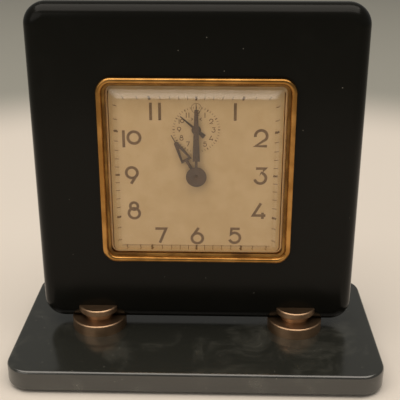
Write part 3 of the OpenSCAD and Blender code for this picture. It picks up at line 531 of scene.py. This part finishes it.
def strokeOutline(path, width, closed):
    # left and right edge points of a pen line, mitred at its turns
    left, right = [], []
    count = len(path)
    for i, (x, z) in enumerate(path):
        before = path[i - 1] if (i > 0 or closed) else None
        after = path[(i + 1) % count] if (i < count - 1 or closed) else None
        dirs = []
        if before:
            dirs.append(Vector((x - before[0], z - before[1])).normalized())
        if after:
            dirs.append(Vector((after[0] - x, after[1] - z)).normalized())
        mean = sum(dirs, Vector((0, 0))).normalized()
        normal = Vector((-mean.y, mean.x))
        reach = width / 2 / max(0.5, abs(normal.dot(Vector((-dirs[0].y, dirs[0].x)))))
        left.append((x + normal.x * reach, z + normal.y * reach))
        right.append((x - normal.x * reach, z - normal.y * reach))
    return left, right


def arc(cx, cz, radius, start, end, steps=20):
    return [(cx + radius * math.cos(math.radians(start + (end - start) * k / steps)),
        cz + radius * math.sin(math.radians(start + (end - start) * k / steps)))
        for k in range(steps + 1)]


def ringPath(cx, cz, radius, steps=32):
    return [(cx + radius * math.cos(2 * math.pi * k / steps),
        cz + radius * math.sin(2 * math.pi * k / steps)) for k in range(steps)]


class InkSheet:
    # printed or sunk lines that lie on a flat face, which looks along -Y (side -1) or +Y (side 1)
    def __init__(self, face=dialFace, side=-1):
        self.points, self.faces, self.layer = [], [], 0
        self.face, self.side = face, side

    def stroke(self, path, width, closed=False, at=(0, 0), size=1.0):
        moved = [(at[0] + x * size, at[1] + z * size) for x, z in path]
        left, right = strokeOutline(moved, width, closed)
        base = len(self.points)
        top = self.face + self.side * (inkShape["height"] + inkShape["layer"] * (self.layer % 4))
        self.layer += 1
        count = len(moved)
        for y in (top, self.face):
            self.points += [(x, y, hubZ + z) for x, z in left]
            self.points += [(x, y, hubZ + z) for x, z in right]
        lt, rt, lb, rb = base, base + count, base + 2 * count, base + 3 * count
        for k in range(count if closed else count - 1):
            n = (k + 1) % count
            self.faces += [(lt + k, lt + n, rt + n, rt + k), (lb + k, rb + k, rb + n, lb + n),
                (lt + k, lb + k, lb + n, lt + n), (rt + k, rt + n, rb + n, rb + k)]
        if not closed:
            for k in (0, count - 1):
                self.faces.append((lt + k, rt + k, rb + k, lb + k))

    def make(self, name, mat=inkMat):
        return makeMesh(name, self.points, self.faces, mat, sharp=40)


# strokes of each figure, in millimetres for a figure 6.4 mm tall: (path, closed)
figures = {
    "0": [(ringPath(0, 0.5, 2.2), True)],
    "1": [([(0, -3.2), (0, 3.2)], False)],
    "2": [(arc(0, 1.05, 2.1, 190, -38) + [(-1.95, -2.72), (2.15, -2.72)], False)],
    "3": [([(-1.75, 2.75), (1.72, 2.75), (0.05, 0.62)] + arc(-0.1, -1.0, 2.05, 78, -168), False)],
    "4": [([(0.62, 3.15), (-2.15, -1.75), (2.45, -1.75)], False), ([(1.35, -0.55), (1.35, -3.1)], False)],
    "5": [([(1.9, 2.75), (-1.15, 2.75), (-1.42, 0.45)] + arc(0.0, -0.95, 2.05, 118, -158), False)],
    "6": [(ringPath(0, -1.1, 2.05), True), ([(-1.72, -0.15), (0.5, 3.2)], False)],
    "7": [([(-2.05, 2.72), (1.95, 2.72), (-0.45, -3.15)], False)],
    "8": [(ringPath(0, 1.72, 1.42), True), (ringPath(0, -1.15, 2.02), True)],
    "9": [(ringPath(0, 1.1, 2.05), True), ([(1.72, 0.15), (-0.35, -3.2)], False)],
}
numerals = [("1", 13.8, 24.0), ("2", 23.2, 14.2), ("3", 23.4, 0.2), ("4", 23.2, -13.8),
    ("5", 14.3, -23.8), ("6", 0.3, -24.0), ("7", -13.4, -24.0), ("8", -23.2, -14.0),
    ("9", -23.6, -0.2), ("10", -23.4, 13.8), ("11", -14.6, 24.0)]


def writeFigure(ink, text, x, z, tall, pen):
    size = tall / 6.4
    gaps = {"10": [-2.75 * size, 1.0 * size], "11": [-1.6 * size, 1.6 * size],
        "12": [-1.9 * size, 1.7 * size]}
    for shift, mark in zip(gaps.get(text, [0]), text):
        for path, closed in figures[mark]:
            ink.stroke(path, pen, closed, (x + shift, z), size * 1.0)


def makeNumerals():
    ink = InkSheet()
    for text, x, z in numerals:
        writeFigure(ink, text, x * mm, z * mm, inkShape["tall"], inkShape["stroke"])
    return ink.make("dialNumerals")


finishPiece(makeNumerals(), standBody)

alarmPrint = {"radius": 6.15 * mm, "tall": 1.85 * mm, "pen": 0.28 * mm, "ringAt": 7.9 * mm,
    "ringRadius": 1.75 * mm, "ringPen": 0.16 * mm, "headAcross": 1.2 * mm,
    "headRise": 3.9 * mm, "headLong": 0.75 * mm, "headHalf": 0.5 * mm, "headPen": 0.22 * mm}


def makeAlarmFigures(s):
    ink = InkSheet()
    rise = alarmZ - hubZ
    for hour in range(1, 13):
        a = math.radians(90 - 30 * hour)
        writeFigure(ink, str(hour), s["radius"] * math.cos(a), rise + s["radius"] * math.sin(a),
            s["tall"], s["pen"])
    ink.stroke(ringPath(0, rise + s["ringAt"], s["ringRadius"]), s["ringPen"], True)
    for side in (-1, 1):  # small arrowheads inside the ring of figures
        tip = (side * s["headAcross"], rise + s["headRise"])
        back = tip[0] + side * s["headLong"]
        ink.stroke([(back, tip[1] + s["headHalf"]), tip, (back, tip[1] - s["headHalf"])],
            s["headPen"])
    return ink.make("alarmFigures")


finishPiece(makeAlarmFigures(alarmPrint), standBody)


# what each arrow goes round, with the angles at which it starts and ends, in degrees
arrowShape = {"pen": 0.55 * mm, "head": 1.5 * mm, "barb": 0.6, "keyRadius": 10.4 * mm,
    "knobRadius": 6.3 * mm, "arcs": (("time_winding_arbor", "keyRadius", 215, 275),
    ("alarm_winding_arbor", "keyRadius", 325, 265), ("time_set_knob", "knobRadius", 60, 130),
    ("time_set_knob", "knobRadius", 130, 60), ("alarm_set_knob", "knobRadius", 50, 130))}


def centreOf(name):
    low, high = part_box(name)
    return ((low[0] + high[0]) / 2, (low[2] + high[2]) / 2)


def makeArrows(s):
    sheet = InkSheet(coverFace, 1)
    for name, reach, start, end in s["arcs"]:
        radius = s[reach]
        x, z = centreOf(name)
        z -= hubZ
        sheet.stroke(arc(x, z, radius, start, end), s["pen"])
        turn = 1 if end > start else -1
        tipAngle = math.radians(end)
        tip = Vector((x + radius * math.cos(tipAngle), z + radius * math.sin(tipAngle)))
        along = Vector((-math.sin(tipAngle), math.cos(tipAngle))) * turn
        out = Vector((math.cos(tipAngle), math.sin(tipAngle)))
        barbs = [tip - along * s["head"] + out * s["head"] * s["barb"] * side for side in (1, -1)]
        sheet.stroke([tuple(barbs[0]), tuple(tip), tuple(barbs[1])], s["pen"])
    return sheet.make("coverArrows", grooveShadeAndArrowMat)


finishPiece(makeArrows(arrowShape), standBody)


def mathNode(tree, operation, *values):
    node = addNode(tree, "ShaderNodeMath", operation=operation)
    for i, value in enumerate(values):
        if isinstance(value, (int, float)):
            node.inputs[i].default_value = value
        else:
            tree.links.new(value, node.inputs[i])
    return node.outputs[0]


def makeTickTree():
    # marks pointing at a centre, round a ring (Squareness 0) or a square track (Squareness 1)
    tree, start, end = startGroup("trackMarks", "GeometryNodeTree", {
        "Geometry": ("NodeSocketGeometry", None), "Count": ("NodeSocketInt", 60),
        "Every": ("NodeSocketInt", 5), "Reach": ("NodeSocketFloat", 0.0294),
        "Squareness": ("NodeSocketFloat", 1.0), "Length": ("NodeSocketFloat", 0.001),
        "Width": ("NodeSocketFloat", 0.0002), "Bold": ("NodeSocketFloat", 3.0),
        "Height": ("NodeSocketFloat", 0.00003), "Material": ("NodeSocketMaterial", None)},
        {"Geometry": "NodeSocketGeometry"})
    link = tree.links.new
    out = start.outputs
    line = addNode(tree, "GeometryNodeMeshLine", mode="OFFSET")
    link(out["Count"], line.inputs["Count"])
    index = addNode(tree, "GeometryNodeInputIndex").outputs[0]
    angle = mathNode(tree, "DIVIDE", mathNode(tree, "MULTIPLY", index, 2 * math.pi), out["Count"])
    across = mathNode(tree, "SINE", angle)
    up = mathNode(tree, "COSINE", angle)
    widest = mathNode(tree, "MAXIMUM", mathNode(tree, "ABSOLUTE", across),
        mathNode(tree, "ABSOLUTE", up))
    square = mathNode(tree, "DIVIDE", 1.0, widest)
    stretch = addNode(tree, "ShaderNodeMix")
    link(out["Squareness"], stretch.inputs["Factor"])
    stretch.inputs["A"].default_value = 1.0
    link(square, stretch.inputs["B"])
    reach = mathNode(tree, "MULTIPLY", out["Reach"], stretch.outputs["Result"])
    spot = addNode(tree, "ShaderNodeCombineXYZ")
    link(mathNode(tree, "MULTIPLY", across, reach), spot.inputs["X"])
    link(mathNode(tree, "MULTIPLY", up, reach), spot.inputs["Z"])
    put = addNode(tree, "GeometryNodeSetPosition")
    link(line.outputs[0], put.inputs["Geometry"])
    link(spot.outputs[0], put.inputs["Position"])
    every = mathNode(tree, "MODULO", index, out["Every"])
    isBold = mathNode(tree, "LESS_THAN", every, 0.5)
    size = addNode(tree, "ShaderNodeCombineXYZ")
    link(mathNode(tree, "MULTIPLY_ADD", isBold, mathNode(tree, "SUBTRACT", out["Bold"], 1.0), 1.0),
        size.inputs["X"])
    size.inputs["Y"].default_value = 1.0
    link(mathNode(tree, "MULTIPLY_ADD", isBold, 0.12, 1.0), size.inputs["Z"])
    block = addNode(tree, "GeometryNodeMeshCube")
    blockSize = addNode(tree, "ShaderNodeCombineXYZ")
    link(out["Width"], blockSize.inputs["X"])
    link(out["Height"], blockSize.inputs["Y"])
    link(out["Length"], blockSize.inputs["Z"])
    link(blockSize.outputs[0], block.inputs["Size"])
    inward = addNode(tree, "GeometryNodeTransform")
    link(block.outputs["Mesh"], inward.inputs["Geometry"])
    drop = addNode(tree, "ShaderNodeCombineXYZ")
    link(mathNode(tree, "MULTIPLY", out["Length"], -0.5), drop.inputs["Z"])
    link(drop.outputs[0], inward.inputs["Translation"])
    aim = addNode(tree, "ShaderNodeCombineXYZ")
    link(angle, aim.inputs["Y"])
    copies = addNode(tree, "GeometryNodeInstanceOnPoints")
    link(put.outputs[0], copies.inputs["Points"])
    link(inward.outputs[0], copies.inputs["Instance"])
    link(aim.outputs[0], copies.inputs["Rotation"])
    link(size.outputs[0], copies.inputs["Scale"])
    real = addNode(tree, "GeometryNodeRealizeInstances")
    link(copies.outputs[0], real.inputs[0])
    coat = addNode(tree, "GeometryNodeSetMaterial")
    link(real.outputs[0], coat.inputs["Geometry"])
    link(out["Material"], coat.inputs["Material"])
    link(coat.outputs[0], end.inputs["Geometry"])
    return tree


def runTree(name, tree, values, center):
    holder = bpy.data.objects.new(name + "Source", bpy.data.meshes.new(name + "Source"))
    bpy.context.scene.collection.objects.link(holder)
    modifier = holder.modifiers.new("nodes", "NODES")
    modifier.node_group = tree
    for item in tree.interface.items_tree:
        if item.item_type == "SOCKET" and item.in_out == "INPUT" and item.name in values:
            modifier[item.identifier] = values[item.name]
    bpy.context.view_layer.update()
    graph = bpy.context.evaluated_depsgraph_get()
    mesh = bpy.data.meshes.new_from_object(holder.evaluated_get(graph))
    bpy.data.objects.remove(holder)
    mesh.transform(Matrix.Translation(center))
    mesh.name = name
    obj = bpy.data.objects.new(name, mesh)
    bpy.context.scene.collection.objects.link(obj)
    return obj


tickTree = makeTickTree()
minuteTrack = {"Count": 60, "Every": 5, "Reach": 29.4 * mm, "Squareness": 1.0,
    "Length": 1.15 * mm, "Width": 0.22 * mm, "Bold": 3.4, "Height": 0.06 * mm, "Material": inkMat}
alarmTrack = {"Count": 48, "Every": 4, "Reach": 8.5 * mm, "Squareness": 0.0, "Length": 0.7 * mm,
    "Width": 0.17 * mm, "Bold": 2.2, "Height": 0.06 * mm, "Material": inkMat}
for name, values, z in (("minuteMarks", minuteTrack, hubZ), ("alarmMarks", alarmTrack, alarmZ)):
    finishPiece(runTree(name, tickTree, values, Vector((0, dialFace, z))), standBody)
print("dial printed")

finishes = {
    "base_felt": feltMat, "foot_left": copperMat, "foot_right": copperMat, "dial": dialMat,
    "minute_hand": handMat, "hour_hand": handMat, "alarm_hand": handMat,
    "case_can": canMat, "retaining_frame": canMat, "back_cover": coverMat,
    "time_set_knob": knobMat, "alarm_set_knob": knobMat, "time_winding_key": knobMat,
    "alarm_winding_key": knobMat, "stop_plunger": knobMat, "slab_inserts": knobMat,
    "dial_spacer": bezelMat, "time_mainspring": springMat, "alarm_mainspring": springMat,
    "hairspring": springMat, "centre_arbor": brownedMat,
}
steelNodes = ("base_screws clamp_screws cover_screws plate_nuts centre_arbor clutch_spring "
    "minute_post alarm_arbor time_winding_arbor alarm_winding_arbor time_click alarm_click "
    "pallet_lever regulator hammer").split()
# width of each softened edge, in millimetres
softened = {"foot_left": 0.12, "foot_right": 0.12, "minute_hand": 0.06, "hour_hand": 0.06,
    "alarm_hand": 0.05, "back_cover": 0.15, "time_winding_key": 0.25, "alarm_winding_key": 0.25,
    "stop_plunger": 0.2, "regulator": 0.12, "cover_screws": 0.12, "clamp_screws": 0.12,
    "case_can": 0.12, "retaining_frame": 0.15, "time_set_knob": 0.12, "alarm_set_knob": 0.12}
edgeCare = {"join": 1e-6, "segments": 2, "bevelFrom": 40, "creaseFrom": 50, "flatWeight": 100}
for name, obj in nodes.items():
    finish = finishes.get(name) or (steelMat if name in steelNodes else movementMat)
    obj.data.materials.clear()
    obj.data.materials.append(finish)
    if name in softened:
        weld = obj.modifiers.new("join", "WELD")
        weld.merge_threshold = edgeCare["join"]
        soft = obj.modifiers.new("softEdge", "BEVEL")
        soft.width = softened[name] * mm
        soft.segments = edgeCare["segments"]
        soft.limit_method = "ANGLE"
        soft.angle_limit = math.radians(edgeCare["bevelFrom"])
        obj.data.shade_smooth()
        split = obj.modifiers.new("crease", "EDGE_SPLIT")
        split.split_angle = math.radians(edgeCare["creaseFrom"])
        flat = obj.modifiers.new("flatFaces", "WEIGHTED_NORMAL")
        flat.weight = edgeCare["flatWeight"]
print("finishes given")

studio = {"floorColor": (0.74, 0.68, 0.615), "farColor": (0.33, 0.325, 0.29), "near": 0.30,
    "far": 0.46, "halfSize": 3.0, "worldColor": (0.58, 0.57, 0.53),
    "worldStrength": 0.36}
overhead = {"power": 29.0, "width": 2.4, "height": 1.5, "at": (0.0, -0.2, 1.5),
    "toward": (0, 0.0, 0.05), "color": (1.0, 0.92, 0.82)}
fill = {"power": 6.0, "width": 1.6, "height": 1.2, "at": (-1.3, -1.5, 0.9),
    "toward": (0, 0, 0.07), "color": (1.0, 0.93, 0.84)}


def makeStudio(s):
    # pale floor that fades to grey away from the clock
    mat, tree, shader, point = startMaterial("studioPaper", s["floorColor"], roughness=0.85,
        specular=0.2)
    away = addNode(tree, "ShaderNodeVectorMath", operation="LENGTH")
    tree.links.new(point, away.inputs[0])
    grey = ramp(tree, away.outputs["Value"], s["near"], s["far"])
    tree.links.new(mixColors(tree, grey, s["floorColor"], s["farColor"]), shader.inputs["Base Color"])
    mesh = bpy.data.meshes.new("studioFloor")
    half = s["halfSize"]
    mesh.from_pydata([(-half, -half, 0), (half, -half, 0), (half, half, 0), (-half, half, 0)], [],
        [(0, 1, 2, 3)])
    mesh.materials.append(mat)
    floor = bpy.data.objects.new("studioFloor", mesh)
    bpy.context.scene.collection.objects.link(floor)


def areaLight(name, power, width, height, at, toward, color):
    data = bpy.data.lights.new(name, "AREA")
    data.shape = "RECTANGLE"
    data.size, data.size_y = width, height
    data.energy = power
    data.color = color
    lamp = bpy.data.objects.new(name, data)
    lamp.location = at
    lamp.rotation_euler = (Vector(toward) - Vector(at)).to_track_quat("-Z", "Y").to_euler()
    bpy.context.scene.collection.objects.link(lamp)


makeStudio(studio)
areaLight("overheadSoftbox", **overhead)
areaLight("frontFill", **fill)
world = bpy.data.worlds.new("studioWorld")
world.use_nodes = True
background = world.node_tree.nodes["Background"]
background.inputs[0].default_value = (*studio["worldColor"], 1)
background.inputs[1].default_value = studio["worldStrength"]
bpy.context.scene.world = world
bpy.context.scene.view_settings.view_transform = "Standard"

cameraAt = {"x": 8.6 * mm, "y": slabFront - 264.5 * mm, "z": baseHigh[2] + 159.9 * mm,
    "pitch": 21.77, "yaw": -1.57, "lens": 69.7, "sensor": 36,
    "nearest": 0.01}
cameraData = bpy.data.cameras.new("mainCamera")
cameraData.lens = cameraAt["lens"]
cameraData.sensor_width = cameraAt["sensor"]
cameraData.clip_start = cameraAt["nearest"]
camera = bpy.data.objects.new("mainCamera", cameraData)
pitch, yaw = math.radians(cameraAt["pitch"]), math.radians(cameraAt["yaw"])
aim = Vector((math.sin(yaw) * math.cos(pitch), math.cos(yaw) * math.cos(pitch), -math.sin(pitch)))
camera.location = (cameraAt["x"], cameraAt["y"], cameraAt["z"])
camera.rotation_euler = aim.to_track_quat("-Z", "Y").to_euler()
bpy.context.scene.collection.objects.link(camera)
bpy.context.scene.camera = camera
print("studio and camera set")
